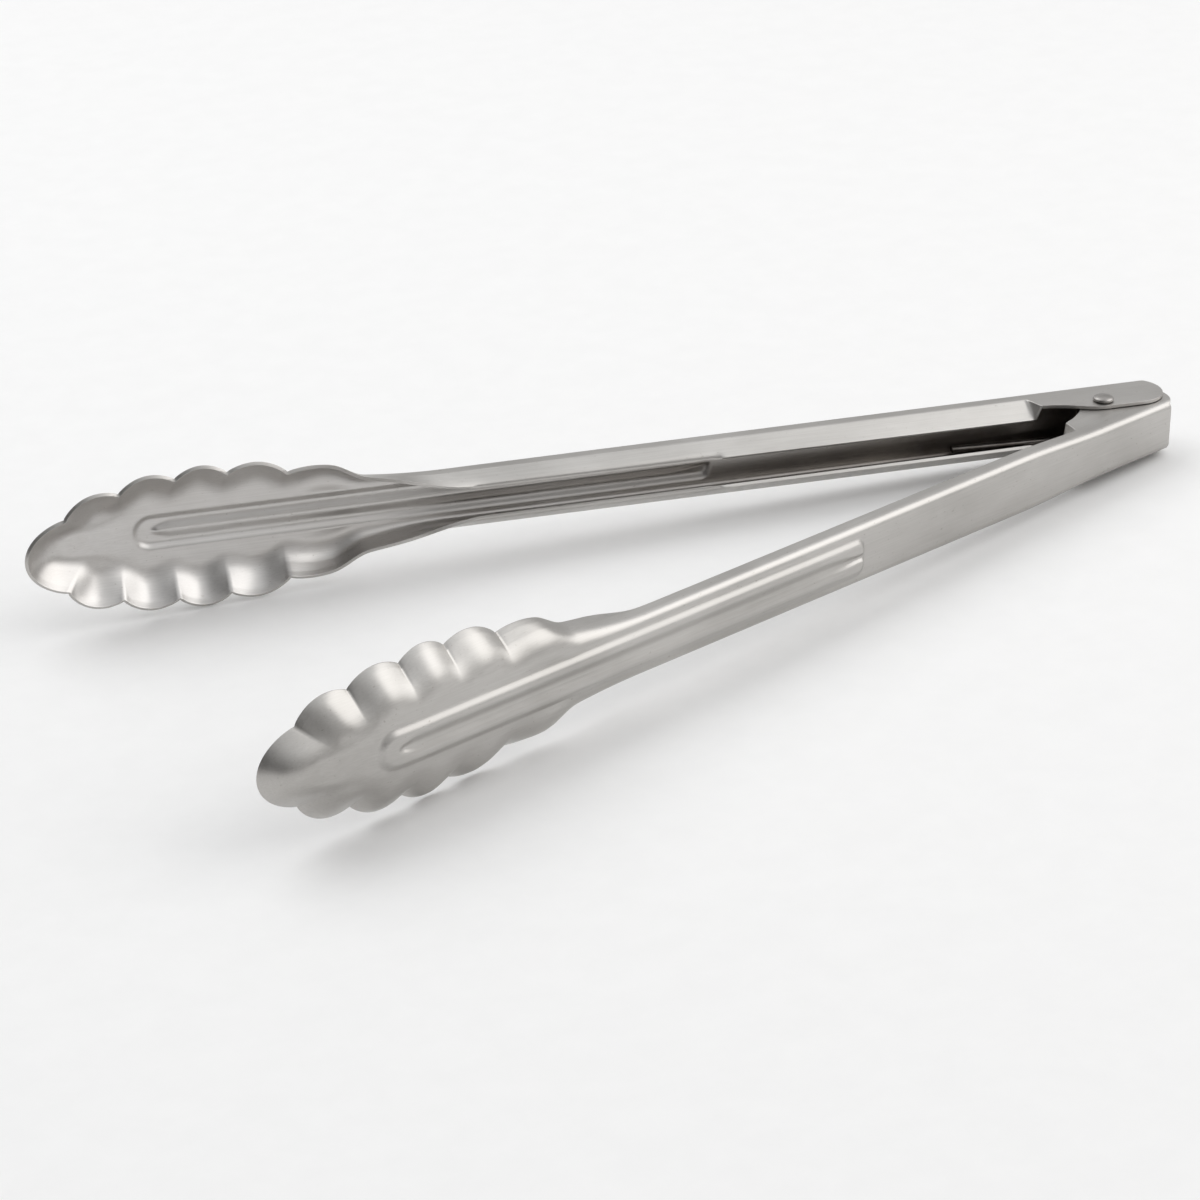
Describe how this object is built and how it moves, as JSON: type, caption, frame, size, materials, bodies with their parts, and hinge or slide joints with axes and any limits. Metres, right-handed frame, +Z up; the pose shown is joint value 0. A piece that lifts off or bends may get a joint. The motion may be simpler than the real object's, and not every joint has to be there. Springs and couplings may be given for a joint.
{
  "type": "kitchen tongs",
  "caption": "Spring loaded stainless kitchen tongs with pressed channel arms, scalloped heads and a riveted hinge, lying on their side and open.",
  "frame": {"origin": "centre of the bounding box at its base: the surface the tongs lie on", "axes": "+X from the heads towards the hinge, along the middle between the arms; +Y towards the outer arm; +Z up, square to the surface the tongs lie on. The hinge axis leans 2.40 degrees from Z towards +X because the heads are wider than the hinge."},
  "size_m": [0.303, 0.1394, 0.039],
  "materials": {
    "arm_sheet": "brushed",
    "rivet": "satin",
    "spring_wire": "drawn wire"
  },
  "bodies": {
    "outer_arm_body": {"outer_arm": "arm_sheet", "pivot_rivet": "rivet", "torsion_spring": "spring_wire"},
    "inner_arm_body": {"inner_arm": "arm_sheet"}
  },
  "joints": [
    {"name": "arm_hinge", "type": "hinge", "parent": "outer_arm_body", "child": "inner_arm_body", "pos_m": [0.13168, 0, 0.00958], "axis": [-0.0419, 0, -0.9991], "range_deg": [0, 25.5], "stiffness_Nm_per_rad": 0.6, "springref_deg": -2.86, "deforming": ["torsion_spring"]}
  ]
}
